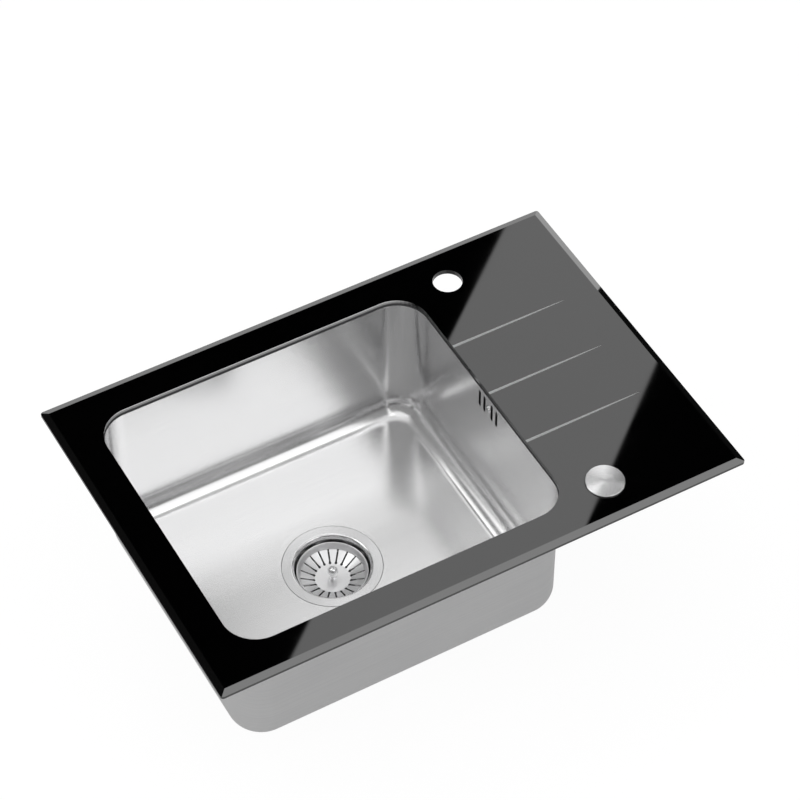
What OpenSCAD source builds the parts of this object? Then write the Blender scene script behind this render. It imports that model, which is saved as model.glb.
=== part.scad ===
// Inset glass kitchen sink with one pressed steel bowl, a strainer waste, an overflow and a push button
// that lifts the strainer. Millimetres. The origin is the centre of the plate on the worktop's surface,
// +X runs along the drainer, +Y to the back and +Z up.

/* [Glass plate] */
// Length of the plate, left to right
glass_w = 650; // [646:2:760]
// Depth of the plate, front to back
glass_d = 446; // [440:2:520]
// Thickness of the glass
glass_t = 6; // [5:0.5:10]
// Width of the ground bevel round the top edge
bevel_w = 7.7; // [4:0.1:12]
// Fall of the bevel from the top face to the outer edge
bevel_drop = 2.6; // [1:0.1:4]
// Radius of the plate's upright corners
glass_corner_r = 4; // [2:0.5:7]
// Diameter of the two holes, one for a tap and one for the button
hole_d = 35; // [32:1:38]
// Hole centres, measured from the right side of the bowl's opening
hole_from_side = 46; // [44:1:80]
// Hole centres, measured in from the front and the back edge
hole_from_edge = 50; // [46:1:60]

/* [Drainer grooves] */
// Number of grooves
groove_count = 3; // [1:1:5]
// Distance between grooves
groove_pitch = 81; // [30:1:85]
// Length of a groove from the bowl opening to its faded end
groove_len = 151; // [60:1:160]
// Depth of a groove at the bowl opening
groove_deep = 0.7; // [0.3:0.1:1.2]
// Diameter of the round cutter that leaves the groove
groove_cutter_d = 5; // [4:0.5:10]

/* [Rim seal] */
// Thickness of the pressed foam tape between worktop and glass
seal_t = 1.5; // [1:0.5:4]
// Width of the tape, where the flange leaves it room
seal_w = 10; // [6:1:12]
// Distance of the tape from the edge of the glass
seal_inset = 4; // [2:1:6]
// Least room between the tape and the bowl's flange
seal_gap = 1; // [0.5:0.5:6]

/* [Bowl] */
// Width of the opening in the glass, left to right
bowl_w = 408; // [340:2:410]
// Depth of the opening in the glass, front to back
bowl_d = 360; // [300:2:376]
// Glass left of the opening
bowl_left = 44; // [38:1:46]
// Corner radius of the opening
bowl_corner_r = 40; // [30:1:80]
// How far the glass stands over the bowl wall
glass_overhang = 0.5; // [0.2:0.1:1.5]
// Depth of the bowl from its flange to its floor
bowl_deep = 180; // [140:1:220]
// Sheet thickness of the bowl
sheet_t = 0.9; // [0.6:0.1:1.4]
// Inside radius between wall and floor
floor_r = 25; // [12:1:28]
// Radius of the bend from wall to flange, on the water side
lip_r = 1.6; // [1.5:0.1:3]
// Width of the flange under the glass, where the tape leaves it room
flange_w = 16; // [12:1:18]
// Thickness of the adhesive between flange and glass
bond_t = 1; // [0.6:0.1:2]
// Bare strip of flange left on each side of the adhesive
bond_inset = 2.4; // [1.7:0.1:4]
// Thickness of the two damping pads under the floor
pad_t = 2; // [1:0.5:4]
// Width of a damping pad
pad_w = 80; // [50:5:90]
// Length of a damping pad
pad_len = 200; // [120:5:240]
// Floor left bare between the drain recess and a pad
pad_gap = 18; // [10:1:22]

/* [Overflow] */
// Centre of the slots below the bowl's flange
slot_drop = 19; // [19:1:45]
// Height of a slot
slot_len = 25; // [12:1:26]
// Width of a slot
slot_w = 4.6; // [3:0.1:6]
// Distance between the inner two slots, which stand on either side of the screw
slot_middle = 16; // [14:0.5:20]
// Distance from an inner slot to the outer one beside it
slot_pitch = 10.3; // [8:0.1:14]
// Thickness of the overflow gasket
overflow_gasket_t = 2; // [1:0.5:3]
// Depth of the hollow behind the slots
overflow_deep = 21.5; // [21.5:0.5:30]
// Wall of the overflow housing
overflow_wall = 2.4; // [1.6:0.2:2.4]
// Outer diameter of both hose spigots
hose_d = 20; // [18:0.5:22]
// Wall of both hose spigots
hose_wall = 2; // [1.4:0.2:3]
// Length of both hose spigots
hose_len = 24; // [16:1:36]
// Room for a hose between the overflow spigot and the bowl's wall
hose_gap = 5; // [3:0.5:5]
// Diameter of the overflow screw
overflow_screw_d = 5; // [4:0.5:5.5]
// Diameter of the overflow screw's head
overflow_head_d = 9; // [8:0.5:9]

/* [Waste cup] */
// Diameter of the drain hole in the bowl
drain_hole_d = 91; // [88:1:94]
// Outer diameter of the cup's flange
cup_flange_d = 116.5; // [112:0.5:124]
// Sheet thickness of the cup
cup_t = 0.8; // [0.6:0.1:1.2]
// Gap between the cup and the edge of the drain hole
cup_gap = 0.7; // [0.3:0.1:1]
// Radius of the cup's mouth, from flange to wall
cup_mouth_r = 3.5; // [2:0.5:5]
// Thickness of the gasket under the cup's flange
cup_gasket_t = 1.5; // [1:0.5:3]
// Diameter of the neck below the cup, which the plug closes
neck_d = 42; // [36:1:44]
// Depth of the neck
neck_deep = 10; // [9.5:0.5:16]
// Gap between the cup's flange and the side of its recess
recess_gap = 1.2; // [0.5:0.1:2]

/* [Strainer basket] */
// Diameter of the basket's rim
basket_d = 84; // [78:1:86]
// Rim of the basket below the cup's flange
basket_drop = 8; // [6:0.5:12]
// Depth of the basket from rim to centre disc
basket_deep = 15; // [13:0.5:20]
// Sheet thickness of the basket
basket_t = 0.8; // [0.6:0.1:1]
// Diameter of the flat centre disc
disc_d = 44; // [38:1:48]
// Diameter at the outer ends of the slots, where the steep side starts
slots_d = 72; // [66:1:74]
// Rise of the slotted cone from the disc to the steep side
cone_rise = 6; // [3:0.5:8]
// Number of drain slots
basket_slots = 20; // [12:1:24]
// Width of a drain slot
basket_slot_w = 1.7; // [1:0.1:2.2]
// Diameter of the round hole at the inner end of each slot
basket_hole_d = 3; // [2:0.1:3.4]
// Diameter of the stem
stem_d = 6.4; // [5:0.2:8]
// Diameter of the ball on the stem
ball_d = 13; // [10:0.5:18]
// Centre of the ball above the disc
ball_up = 21; // [16:0.5:30]
// Diameter of the rubber plug under the disc
plug_d = 54; // [48:1:58]
// Thickness of the rubber plug
plug_t = 1.9; // [1.5:0.1:4]
// Thickness of the nut that holds basket and plug on the stem
stem_nut_t = 4; // [3:0.5:4]

/* [Waste body] */
// Thickness of the gasket between bowl and waste body
body_gasket_t = 2; // [1:0.5:4]
// Wall of the waste body
body_wall = 2.7; // [2:0.1:4]
// Width of the water gap between cup and waste body
body_gap = 1.5; // [0.8:0.1:4]
// Height of the body's clamping rim
body_rim_h = 4.5; // [3:0.5:5]
// Height of the funnel down to the outlet
funnel_h = 12; // [8:1:24]
// Diameter of the outlet's thread
outlet_d = 47.8; // [46:0.1:50]
// Wall of the outlet
outlet_wall = 3.4; // [2.4:0.1:5]
// Length of the outlet
outlet_len = 22; // [16:1:40]
// Diameter of the clamping screw
clamp_d = 10; // [9:0.5:12]
// Length of the threaded hub that the clamping screw enters
hub_len = 9; // [8:0.5:14]
// Diameter of the lifting pin inside the clamping screw
pin_d = 5; // [4:0.1:5.4]
// Running clearance of the pin and of the rocker's shaft, on the radius
run_gap = 0.05; // [0.02:0.01:0.1]
// Reach of the rocker from its shaft to the pin
rocker_reach = 20; // [18:0.5:24]
// Thickness of the rocker's arm
rocker_t = 3; // [2.5:0.5:4]
// Diameter of the rocker's shaft
shaft_d = 5; // [4:0.5:6]
// Turn of the rocker that lifts the basket, in degrees
lift_angle = 20; // [10:1:22]
// Length of the crank outside the body
crank_len = 16; // [12:1:20]

/* [Push button] */
// Diameter of the button's cap
cap_d = 44.4; // [43:0.2:52]
// Height of the cap's top above the glass when it is down
cap_h = 2.8; // [2.5:0.1:5]
// Thickness of the cap's top
cap_t = 1.1; // [0.8:0.1:1.2]
// Diameter of the button's stem
button_stem_d = 16; // [12:0.5:18]
// Travel of the button
button_travel = 8; // [5:0.5:10]
// Length of the sleeve below the glass
sleeve_len = 33; // [32:0.5:44]
// Thickness of the rubber washer under the glass
washer_t = 2; // [1:0.5:3]
// Thickness of the sleeve's nut
nut_t = 7; // [5:0.5:10]

/* [Hidden] */
$fn = 96;

eps = 0.01;
rest_gap = 0.3;
fit_gap = 0.05;

STEEL = [0.76, 0.77, 0.78];
BRUSHED = [0.70, 0.71, 0.72];
BLACK_GLASS = [0.03, 0.03, 0.035];
RUBBER = [0.10, 0.10, 0.11];
BLACK_PLASTIC = [0.16, 0.16, 0.17];
WHITE_PLASTIC = [0.88, 0.88, 0.86];
BRASS = [0.80, 0.66, 0.36];

// Heights of the glass and the bowl
glass_z = seal_t;
glass_top_z = glass_z + glass_t;
bowl_top = glass_z - bond_t;
floor_z = bowl_top - bowl_deep;

// Plan of the bowl
bowl_x = -glass_w / 2 + bowl_left + bowl_w / 2;
wall_r = bowl_corner_r - glass_overhang;
inner_w = bowl_w - 2 * glass_overhang;
inner_d = bowl_d - 2 * glass_overhang;
ledge = min(bowl_left, (glass_d - bowl_d) / 2);
hole_x = bowl_x + bowl_w / 2 + hole_from_side;
hole_y = glass_d / 2 - hole_from_edge;

// Flange and tape share the glass beside the opening, and narrow alike where it is too slim for both
rim_share = min(1, (ledge - seal_inset - seal_gap) / (flange_w + seal_w));
flange_reach = flange_w * rim_share;
seal_reach = seal_w * rim_share;
bond_edge = bond_inset * rim_share;

// Overflow, on the outside of the bowl's right wall
slot_z = bowl_top - slot_drop;
overflow_x = bowl_x + inner_w / 2 + sheet_t;
window_gap = 1.5;
window_w = slot_middle + 2 * slot_pitch + slot_w + 2 * window_gap;
window_h = slot_len + 2 * window_gap;
housing_w = window_w + 2 * overflow_wall;
housing_h = window_h + 2 * overflow_wall;
spigot_x = overflow_x + hose_gap + hose_d / 2;
screw_boss_d = overflow_screw_d + 4;
overflow_screw_len = 14;
screw_tip_gap = 1.4;

// Cup: heights below the floor, with the drain's centre as the axis
recess_drop = cup_gasket_t + cup_t;
recess_z = floor_z - recess_drop;
recess_r = cup_flange_d / 2 + recess_gap;
recess_top_r = recess_r + recess_drop;
recess_edge_r = recess_top_r + 1;
cup_r = drain_hole_d / 2 - cup_gap - cup_t;
disc_z = floor_z - basket_drop - basket_deep;
plug_top = disc_z - basket_t;
cup_floor = plug_top - plug_t - rest_gap;
cup_corner_r = 4;
neck_r = neck_d / 2;
neck_z = cup_floor - neck_deep;
spider_z = neck_z + cup_t;
stem_tip = 1;
stem_end = plug_top - plug_t - stem_nut_t - stem_tip;
pin_top = stem_end - rest_gap;

// Waste body
body_top = recess_z - sheet_t - body_gasket_t;
body_r = cup_r + cup_t + body_gap;
body_out_r = body_r + body_wall;
body_rim_r = cup_flange_d / 2 - 1;
rim_slope = 3;
hose_seat_w = 3;
hose_seat_t = 1;
inlet_gap = 2.3;
screw_head_t = 3;
screw_head_r = clamp_d / 2 + 2;
hub_r = clamp_d / 2 + 3.5;
hub_end = neck_z - hub_len;
screw_end = hub_end - 1;
arm_tip = 4;
swing_gap = 1;
arm_rise = (rocker_reach + arm_tip) * tan(lift_angle) + rocker_t / 2 / cos(lift_angle);
shaft_z = screw_end - arm_rise - swing_gap;
pin_end = shaft_z + rocker_t / 2 + rest_gap;
funnel_top = shaft_z - 5;
outlet_top = funnel_top - funnel_h;
outlet_end = outlet_top - outlet_len;
outlet_r = outlet_d / 2;
inlet_z = body_top - body_rim_h - rim_slope - inlet_gap - hose_seat_w - hose_d / 2;
shaft_x = -rocker_reach;
boss_len = 10;
boss_end = body_out_r + 2;
gland_t = 4;
crank_y = boss_end + gland_t + rest_gap;
crank_t = 4;
crank_z = shaft_z - crank_len;
crank_w = 7;
anchor_x = 18;
anchor_y = crank_y + crank_t / 2;
anchor_r = 4;
anchor_back = 8;
anchor_front = 16;
arm_t = 5;
cable_r = 2.6;
cable_deep = 10;
wire_r = 1;

// Button
skirt_gap = 0.3;
cap_r = cap_d / 2;
cap_skirt = 1.2;
sleeve_flange_r = cap_r - cap_skirt - 0.5;
sleeve_flange_t = 1;
sleeve_r = hole_d / 2 - 0.7;
sleeve_end = glass_z - sleeve_len;
stem_r = button_stem_d / 2;
collar_r = stem_r + 2;
collar_t = 4;
chamber_r = collar_r + 0.3;
chamber_top = glass_z - 6;
collar_top = chamber_top - rest_gap - button_travel;
nut_r = hole_d / 2 + 6;
washer_r = hole_d / 2 + 4.5;

// Flat rounded rectangle, centred
module plan(w, d, r) {
    square([w - 2 * r, d], center = true);
    square([w, d - 2 * r], center = true);
    for (x = [-1, 1], y = [-1, 1])
        translate([x * (w / 2 - r), y * (d / 2 - r)]) circle(r);
}

// Everything that stands on the drain's axis
module at_drain() {
    translate([bowl_x, 0, 0]) children();
}

module at_button() {
    translate([hole_x, -hole_y, 0]) children();
}

// Straight tube or ring between two heights
module ring(r_out, r_in, z0, z1) {
    translate([0, 0, z0]) difference() {
        cylinder(r = r_out, h = z1 - z0);
        translate([0, 0, -eps]) cylinder(r = r_in, h = z1 - z0 + 2 * eps);
    }
}

// Points of an arc
function arc(x, y, r, a0, a1, n = 8) =
    [for (i = [0:n]) [x + r * cos(a0 + (a1 - a0) * i / n), y + r * sin(a0 + (a1 - a0) * i / n)]];

// The bevel falls from a line bevel_w inside the edge: one sloping block per side takes it off
module bevel_cut(reach, length) {
    fall = atan(bevel_drop / bevel_w);
    translate([reach - bevel_w, 0, glass_top_z]) rotate([0, fall, 0])
        translate([0, -length / 2, 0]) cube([3 * bevel_w, length, 2 * bevel_drop + 5]);
}

module groove(y) {
    cutter_r = groove_cutter_d / 2;
    tilt = atan(groove_deep / groove_len);
    over_bowl = 2 * groove_cutter_d;
    translate([bowl_x + bowl_w / 2 + groove_len, y, glass_top_z + cutter_r])
        rotate([0, -90 - tilt, 0]) cylinder(r = cutter_r, h = groove_len + over_bowl);
}

module glass_top() {
    color(BLACK_GLASS) difference() {
        translate([0, 0, glass_z]) linear_extrude(glass_t) plan(glass_w, glass_d, glass_corner_r);
        for (side = [0, 180]) {
            rotate([0, 0, side]) bevel_cut(glass_w / 2, glass_d + 2 * bevel_w);
            rotate([0, 0, side + 90]) bevel_cut(glass_d / 2, glass_w + 2 * bevel_w);
        }
        translate([bowl_x, 0, glass_z - 1]) linear_extrude(glass_t + 2) plan(bowl_w, bowl_d, bowl_corner_r);
        for (y = [-hole_y, hole_y])
            translate([hole_x, y, glass_z - 1]) cylinder(d = hole_d, h = glass_t + 2);
        for (i = [0:groove_count - 1])
            groove((i - (groove_count - 1) / 2) * groove_pitch);
    }
}

module rim_seal() {
    color(RUBBER) linear_extrude(seal_t) difference() {
        plan(glass_w - 2 * seal_inset, glass_d - 2 * seal_inset, glass_corner_r);
        plan(glass_w - 2 * (seal_inset + seal_reach), glass_d - 2 * (seal_inset + seal_reach), 1);
    }
}

// A quarter of a flat ring, turned to its quadrant
module quarter(r_out, r_in, turn) {
    rotate([0, 0, turn]) intersection() {
        difference() {
            circle(r_out);
            circle(r_in);
        }
        square([r_out + 1, r_out + 1]);
    }
}

// Section of the bowl from a corner's centre line outwards: floor, wall and flange of one sheet
module bowl_section() {
    flat = wall_r - floor_r;
    translate([0, floor_z - sheet_t]) square([flat, sheet_t]);
    translate([flat, floor_z + floor_r]) quarter(floor_r + sheet_t, floor_r, -90);
    translate([wall_r, floor_z + floor_r]) square([sheet_t, bowl_deep - floor_r - lip_r]);
    translate([wall_r + lip_r, bowl_top - lip_r]) quarter(lip_r, lip_r - sheet_t, 90);
    translate([wall_r + lip_r, bowl_top - sheet_t]) square([flange_reach - lip_r, sheet_t]);
}

// The section is swept along one side and round the corner that follows it
module bowl_side(turn, side_w, side_d) {
    rotate([0, 0, turn]) translate([side_w / 2 - wall_r, 0, 0]) {
        translate([0, side_d / 2 - wall_r, 0]) rotate([90, 0, 0])
            linear_extrude(side_d - 2 * wall_r) bowl_section();
        translate([0, side_d / 2 - wall_r, 0]) rotate_extrude(angle = 90) bowl_section();
    }
}

module bowl_shell() {
    for (turn = [0, 180]) {
        bowl_side(turn, inner_w, inner_d);
        bowl_side(turn + 90, inner_d, inner_w);
    }
    translate([0, 0, floor_z - sheet_t / 2])
        cube([inner_w - 2 * wall_r, inner_d - 2 * wall_r, sheet_t], center = true);
}

module drain_recess() {
    rotate_extrude() polygon([
        [recess_edge_r, floor_z], [recess_top_r, floor_z], [recess_r, recess_z],
        [drain_hole_d / 2, recess_z], [drain_hole_d / 2, recess_z - sheet_t],
        [recess_r, recess_z - sheet_t], [recess_top_r, floor_z - sheet_t], [recess_edge_r, floor_z - sheet_t]]);
}

module overflow_slots(depth) {
    inner = slot_middle / 2;
    for (y = [-inner - slot_pitch, -inner, inner, inner + slot_pitch])
        translate([0, y, 0]) rotate([0, 90, 0]) linear_extrude(depth)
            plan(slot_len, slot_w, slot_w / 2 - eps);
}

module bowl() {
    color(STEEL) difference() {
        at_drain() {
            difference() {
                bowl_shell();
                translate([0, 0, floor_z - 2]) cylinder(r = (recess_top_r + recess_edge_r) / 2, h = 4);
            }
            drain_recess();
        }
        translate([overflow_x - 3, 0, slot_z]) {
            overflow_slots(6);
            rotate([0, 90, 0]) cylinder(d = overflow_screw_d + 0.4, h = 6);
        }
    }
}

module bowl_bond() {
    outer = flange_reach - bond_edge;
    color(RUBBER) translate([bowl_x, 0, bowl_top]) linear_extrude(bond_t) difference() {
        plan(inner_w + 2 * outer, inner_d + 2 * outer, wall_r + outer);
        plan(inner_w + 2 * bond_edge, inner_d + 2 * bond_edge, wall_r + bond_edge);
    }
}

module sound_pads() {
    color(BLACK_PLASTIC) at_drain() for (x = [-1, 1])
        translate([x * (recess_top_r + pad_gap + pad_w / 2), 0, floor_z - sheet_t - pad_t])
            linear_extrude(pad_t) plan(pad_w, pad_len, pad_w / 10);
}

// Upright plate with its face to +X, as a base for the overflow's pieces
module overflow_plate(w, h, r, x0, thick) {
    translate([overflow_x + x0, 0, slot_z]) rotate([0, 90, 0]) linear_extrude(thick) plan(h, w, r);
}

module overflow_gasket() {
    color(RUBBER) difference() {
        overflow_plate(housing_w, housing_h, 5, 0, overflow_gasket_t);
        overflow_plate(window_w, window_h, 3, -1, overflow_gasket_t + 2);
    }
}

module overflow_housing() {
    spigot_end = slot_z - housing_h / 2 - hose_len;
    color(BLACK_PLASTIC) difference() {
        union() {
            difference() {
                overflow_plate(housing_w, housing_h, 5, overflow_gasket_t, overflow_deep + overflow_wall);
                overflow_plate(window_w, window_h, 3, 0, overflow_gasket_t + overflow_deep);
            }
            translate([overflow_x + overflow_gasket_t, 0, slot_z]) rotate([0, 90, 0])
                cylinder(d = screw_boss_d, h = overflow_deep + 1);
            translate([spigot_x, 0, spigot_end])
                cylinder(d = hose_d, h = hose_len + overflow_wall / 2);
        }
        translate([spigot_x, 0, spigot_end - 1])
            cylinder(d = hose_d - 2 * hose_wall, h = hose_len + overflow_wall + 2);
        translate([overflow_x, 0, slot_z]) rotate([0, 90, 0])
            cylinder(r = overflow_screw_d / 2 + fit_gap, h = overflow_screw_len - sheet_t + screw_tip_gap);
    }
}

module overflow_screw() {
    head_t = 1.6;
    slot_t = 0.9;
    color(STEEL) translate([overflow_x - sheet_t, 0, slot_z]) rotate([0, 90, 0]) {
        difference() {
            translate([0, 0, -head_t]) cylinder(d1 = overflow_head_d - 2, d2 = overflow_head_d, h = head_t);
            for (turn = [0, 90]) rotate([0, 0, turn])
                translate([0, 0, -head_t]) cube([slot_t, overflow_head_d / 2, head_t], center = true);
        }
        translate([0, 0, -eps]) cylinder(d = overflow_screw_d, h = overflow_screw_len + eps);
    }
}

// Pressed cup: flange, mouth, wall, floor and neck are one sheet
module strainer_cup() {
    water = concat(
        [[cup_flange_d / 2, floor_z]],
        arc(cup_r + cup_mouth_r, floor_z - cup_mouth_r, cup_mouth_r, 90, 180),
        arc(cup_r - cup_corner_r, cup_floor + cup_corner_r, cup_corner_r, 0, -90),
        [[neck_r, cup_floor], [neck_r, neck_z]]);
    under = concat(
        [[neck_r + cup_t, neck_z], [neck_r + cup_t, cup_floor - cup_t]],
        arc(cup_r - cup_corner_r, cup_floor + cup_corner_r, cup_corner_r + cup_t, -90, 0),
        arc(cup_r + cup_mouth_r, floor_z - cup_mouth_r, cup_mouth_r - cup_t, 180, 90),
        [[cup_flange_d / 2, floor_z - cup_t]]);
    color(STEEL) at_drain() {
        rotate_extrude() polygon(concat(water, under));
        translate([0, 0, neck_z]) linear_extrude(cup_t) difference() {
            circle(neck_r + cup_t / 2);
            circle(clamp_d / 2 + 0.2);
            difference() {
                circle(neck_r - 2.5);
                circle(screw_head_r + 0.5);
                for (turn = [45, 135]) rotate([0, 0, turn]) square([neck_d, 4], center = true);
            }
        }
    }
}

module cup_gasket() {
    color(RUBBER) at_drain()
        ring(cup_flange_d / 2 - 1, drain_hole_d / 2 + cup_mouth_r - 0.5, recess_z, floor_z - cup_t);
}

module body_gasket() {
    color(RUBBER) at_drain()
        ring(body_rim_r, drain_hole_d / 2 + 1.5, body_top, recess_z - sheet_t);
}

module clamp_screw() {
    bore_r = pin_d / 2 + run_gap;
    color(STEEL) at_drain() difference() {
        union() {
            translate([0, 0, spider_z]) cylinder(r = screw_head_r, h = screw_head_t);
            translate([0, 0, screw_end]) cylinder(d = clamp_d, h = spider_z - screw_end + eps);
        }
        translate([0, 0, screw_end - 1]) cylinder(r = bore_r, h = spider_z - screw_end + screw_head_t + 2);
        translate([0, 0, spider_z + screw_head_t]) cube([1.6, 3 * screw_head_r, 2.4], center = true);
    }
}

// Moulded body: clamping rim, drum, funnel, outlet, hub on four ribs, hose inlet, shaft boss and anchor arm
module waste_body() {
    color(WHITE_PLASTIC) at_drain() difference() {
        union() {
            rotate_extrude() polygon([
                [body_r, body_top], [body_rim_r, body_top],
                [body_rim_r, body_top - body_rim_h], [body_out_r, body_top - body_rim_h - rim_slope],
                [body_out_r, funnel_top], [outlet_r, outlet_top], [outlet_r, outlet_end],
                [outlet_r - outlet_wall, outlet_end], [outlet_r - outlet_wall, outlet_top],
                [body_r, funnel_top]]);
            translate([0, 0, hub_end]) {
                cylinder(r = hub_r, h = hub_len);
                for (turn = [45, 135]) rotate([0, 0, turn])
                    translate([0, 0, hub_len / 2 - 1])
                        cube([2 * body_r + 1, 3, hub_len - 2], center = true);
            }
            translate([body_r + 0.5, 0, inlet_z]) rotate([0, 90, 0]) {
                cylinder(r = hose_d / 2 + hose_seat_w, h = body_wall - 0.5 + hose_seat_t);
                cylinder(d = hose_d, h = body_wall - 0.5 + hose_seat_t + hose_len);
            }
            translate([shaft_x, -boss_end, shaft_z]) rotate([-90, 0, 0])
                cylinder(r = shaft_d / 2 + 4, h = boss_len);
            anchor_arm();
        }
        translate([0, 0, hub_end - 1]) cylinder(r = clamp_d / 2 + fit_gap, h = hub_len + 2);
        translate([body_r - hose_d / 4, 0, inlet_z]) rotate([0, 90, 0])
            cylinder(d = hose_d - 2 * hose_wall, h = hose_len + hose_d / 2 + body_wall);
        translate([shaft_x, -boss_end - 1, shaft_z]) rotate([-90, 0, 0])
            cylinder(r = shaft_d / 2 + run_gap, h = 2 * boss_len);
        translate([anchor_x - arm_t, -anchor_y, crank_z]) rotate([0, 90, 0])
            cylinder(r = anchor_r + fit_gap, h = 2 * arm_t);
    }
}

// Arm on the body's front that holds the cable anchor in line with the crank
module anchor_arm() {
    root = sqrt(body_out_r * body_out_r - (anchor_x + arm_t) * (anchor_x + arm_t)) - 1;
    root_z = funnel_top + 2;
    root_h = 14;
    drop_w = 8;
    translate([anchor_x - arm_t / 2, 0, 0]) {
        translate([0, -anchor_y, root_z]) cube([arm_t, anchor_y - root, root_h]);
        translate([0, -anchor_y - drop_w / 2, crank_z]) cube([arm_t, drop_w, root_z + root_h - crank_z]);
        translate([0, -anchor_y, crank_z]) rotate([0, 90, 0]) cylinder(r = anchor_r + 3, h = arm_t);
    }
}

// Hollow threaded ferrule that stops the cable's sheath: the socket faces the button's side
module cable_anchor() {
    color(BRASS) translate([bowl_x + anchor_x, -anchor_y, crank_z]) rotate([0, 90, 0]) difference() {
        union() {
            translate([0, 0, -anchor_back]) cylinder(r = anchor_r, h = anchor_back + anchor_front);
            translate([0, 0, arm_t / 2]) cylinder(r = anchor_r + 2, h = 4, $fn = 6);
        }
        translate([0, 0, -anchor_back - 1]) cylinder(r = wire_r, h = anchor_back + anchor_front);
        translate([0, 0, anchor_front - cable_deep]) cylinder(r = cable_r, h = cable_deep + 1);
    }
}

module lift_pin() {
    r = pin_d / 2;
    color(STEEL) at_drain() {
        translate([0, 0, pin_end + r]) cylinder(r = r, h = pin_top - pin_end - r);
        translate([0, 0, pin_end + r]) sphere(r);
    }
}

// Inner arm, shaft and outer crank turn as one
module lift_rocker() {
    arm_w = 8;
    color(STEEL) translate([bowl_x + shaft_x, 0, shaft_z]) {
        translate([0, arm_w / 2, 0]) rotate([90, 0, 0])
            cylinder(d = shaft_d, h = arm_w / 2 + crank_y + crank_t);
        rotate([90, 0, 0]) translate([0, 0, -arm_w / 2]) cylinder(r = shaft_d / 2 + 1.5, h = arm_w);
        translate([0, -arm_w / 2, -rocker_t / 2]) cube([rocker_reach + arm_tip, arm_w, rocker_t]);
        translate([0, -crank_y, 0]) rotate([90, 0, 0]) linear_extrude(crank_t) difference() {
            union() {
                circle(shaft_d / 2 + 2.5);
                translate([-crank_w / 2, -crank_len]) square([crank_w, crank_len]);
                translate([0, -crank_len]) circle(d = crank_w);
            }
            translate([0, -crank_len]) circle(wire_r + 0.5);
        }
    }
}

module rocker_gland() {
    color(BLACK_PLASTIC) translate([bowl_x + shaft_x, -boss_end, shaft_z]) rotate([90, 0, 0])
        difference() {
            cylinder(r = shaft_d / 2 + 4.5, h = gland_t, $fn = 6);
            translate([0, 0, -1]) cylinder(r = shaft_d / 2 + run_gap, h = gland_t + 2);
        }
}

// Pressed basket: rolled rim, steep side, slotted cone and flat centre disc
module basket() {
    rim_z = floor_z - basket_drop;
    cone_z = disc_z + cone_rise;
    rim_r = basket_d / 2;
    bead_r = 1.1;
    side_top = rim_r - 2 * bead_r;
    color(BRUSHED) at_drain() difference() {
        union() {
            rotate_extrude() polygon([
                [0, disc_z], [disc_d / 2, disc_z], [slots_d / 2, cone_z], [side_top, rim_z - bead_r],
                [side_top + basket_t, rim_z - bead_r], [slots_d / 2 + basket_t, cone_z - basket_t],
                [disc_d / 2 + 0.3, disc_z - basket_t], [0, disc_z - basket_t]]);
            rotate_extrude() translate([rim_r - bead_r, rim_z - bead_r]) circle(bead_r, $fn = 24);
        }
        translate([0, 0, disc_z - 3]) cylinder(r = stem_d / 2 + fit_gap, h = 6);
        for (i = [0:basket_slots - 1]) rotate([0, 0, (i + 0.5) * 360 / basket_slots]) {
            translate([disc_d / 2 + 1, -basket_slot_w / 2, disc_z - 3])
                cube([(slots_d - disc_d) / 2 - 1.5, basket_slot_w, cone_rise + 4]);
            translate([disc_d / 2 + 0.5, 0, disc_z - 3]) cylinder(d = basket_hole_d, h = 6);
        }
    }
}

module basket_stem() {
    ball_z = disc_z + ball_up;
    collar_h = 1.6;
    color(STEEL) at_drain() {
        translate([0, 0, stem_end]) cylinder(d = stem_d, h = ball_z - stem_end);
        translate([0, 0, disc_z]) cylinder(r = stem_d / 2 + 1.4, h = collar_h);
        translate([0, 0, ball_z]) sphere(d = ball_d);
    }
}

module basket_plug() {
    color(RUBBER) at_drain() difference() {
        translate([0, 0, plug_top - plug_t]) cylinder(d1 = plug_d, d2 = plug_d - 2, h = plug_t);
        translate([0, 0, plug_top - plug_t - 1]) cylinder(r = stem_d / 2 + fit_gap, h = plug_t + 2);
    }
}

module basket_nut() {
    color(STEEL) at_drain() translate([0, 0, plug_top - plug_t - stem_nut_t]) difference() {
        cylinder(r = stem_d / 2 + 2.8, h = stem_nut_t, $fn = 6);
        translate([0, 0, -1]) cylinder(r = stem_d / 2 + fit_gap, h = stem_nut_t + 2);
    }
}

// Shallow cap over the sleeve's flange: it lies just above the glass when it is down
module button_cap() {
    top = glass_top_z + cap_h;
    bottom = glass_top_z + skirt_gap;
    round_r = 1;
    profile = concat(
        [[0, top]], arc(cap_r - round_r, top - round_r, round_r, 90, 0, 5),
        [[cap_r, bottom], [cap_r - cap_skirt, bottom], [cap_r - cap_skirt, top - cap_t], [0, top - cap_t]]);
    color(BRUSHED) at_button() rotate_extrude() polygon(profile);
}

module button_stem() {
    top = glass_top_z + cap_h - cap_t;
    color(BLACK_PLASTIC) at_button() {
        translate([0, 0, collar_top - collar_t]) cylinder(r = stem_r, h = top - collar_top + collar_t);
        translate([0, 0, collar_top - collar_t]) cylinder(r = collar_r, h = collar_t);
    }
}

module button_sleeve() {
    color(BLACK_PLASTIC) at_button() difference() {
        union() {
            translate([0, 0, glass_top_z]) cylinder(r = sleeve_flange_r, h = sleeve_flange_t);
            translate([0, 0, sleeve_end]) cylinder(r = sleeve_r, h = glass_top_z - sleeve_end + eps);
        }
        translate([0, 0, sleeve_end - 1]) cylinder(r = stem_r + run_gap, h = glass_top_z - sleeve_end + 3);
        translate([0, 0, sleeve_end - 1]) cylinder(r = chamber_r, h = chamber_top - sleeve_end + 1);
    }
}

module button_washer() {
    color(RUBBER) at_button() ring(washer_r, sleeve_r + 0.3, glass_z - washer_t, glass_z);
}

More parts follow.
